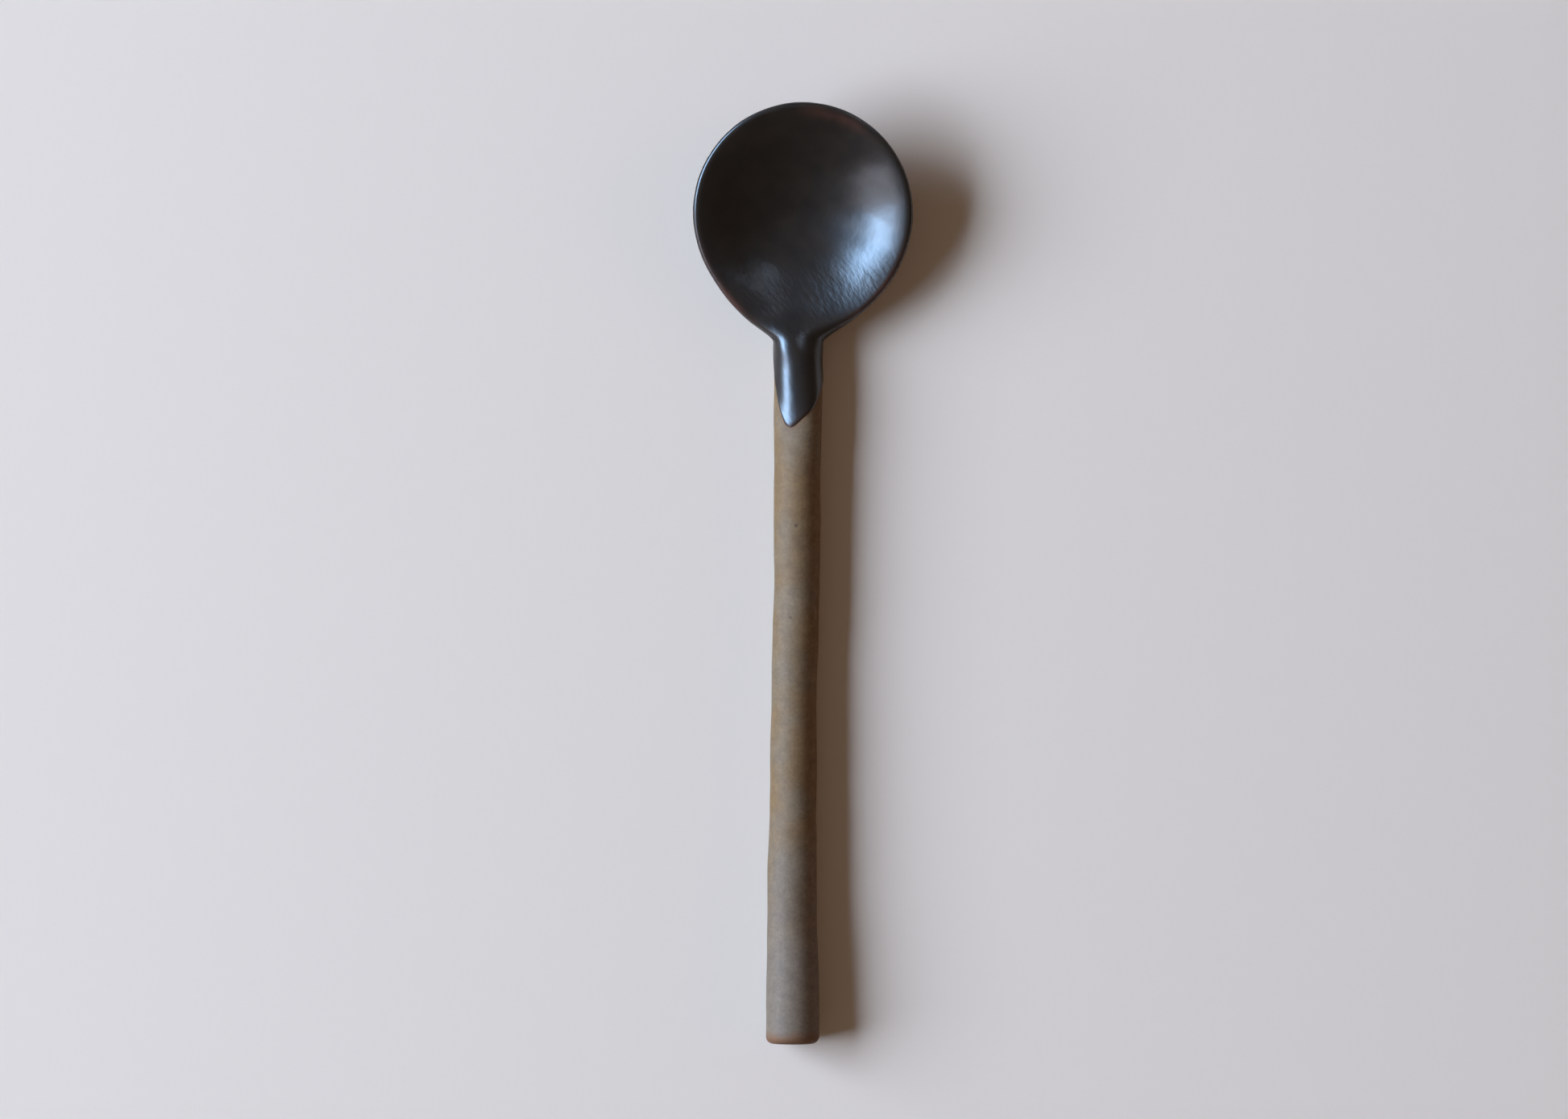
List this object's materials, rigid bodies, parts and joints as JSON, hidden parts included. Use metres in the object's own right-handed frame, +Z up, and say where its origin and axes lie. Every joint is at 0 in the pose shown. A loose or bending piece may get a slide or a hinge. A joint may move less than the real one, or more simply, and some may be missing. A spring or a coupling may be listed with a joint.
{
  "type": "ceramic tea spoon",
  "caption": "Hand-built stoneware tea spoon in one piece: a round shallow glazed bowl on a plain round handle with a bare clay shaft and a cut end.",
  "frame": {"origin": "under the middle of the spoon's length and width, on the surface that it lies on", "axes": "+Y along the length towards the bowl, +Z up out of the hollow of the bowl"},
  "size_m": [0.0328, 0.14, 0.0118],
  "materials": {
    "stoneware": "bare toasted clay handle, brown-black satin glaze on the bowl and neck"
  },
  "bodies": {
    "root": {"spoon": "stoneware"}
  },
  "joints": []
}
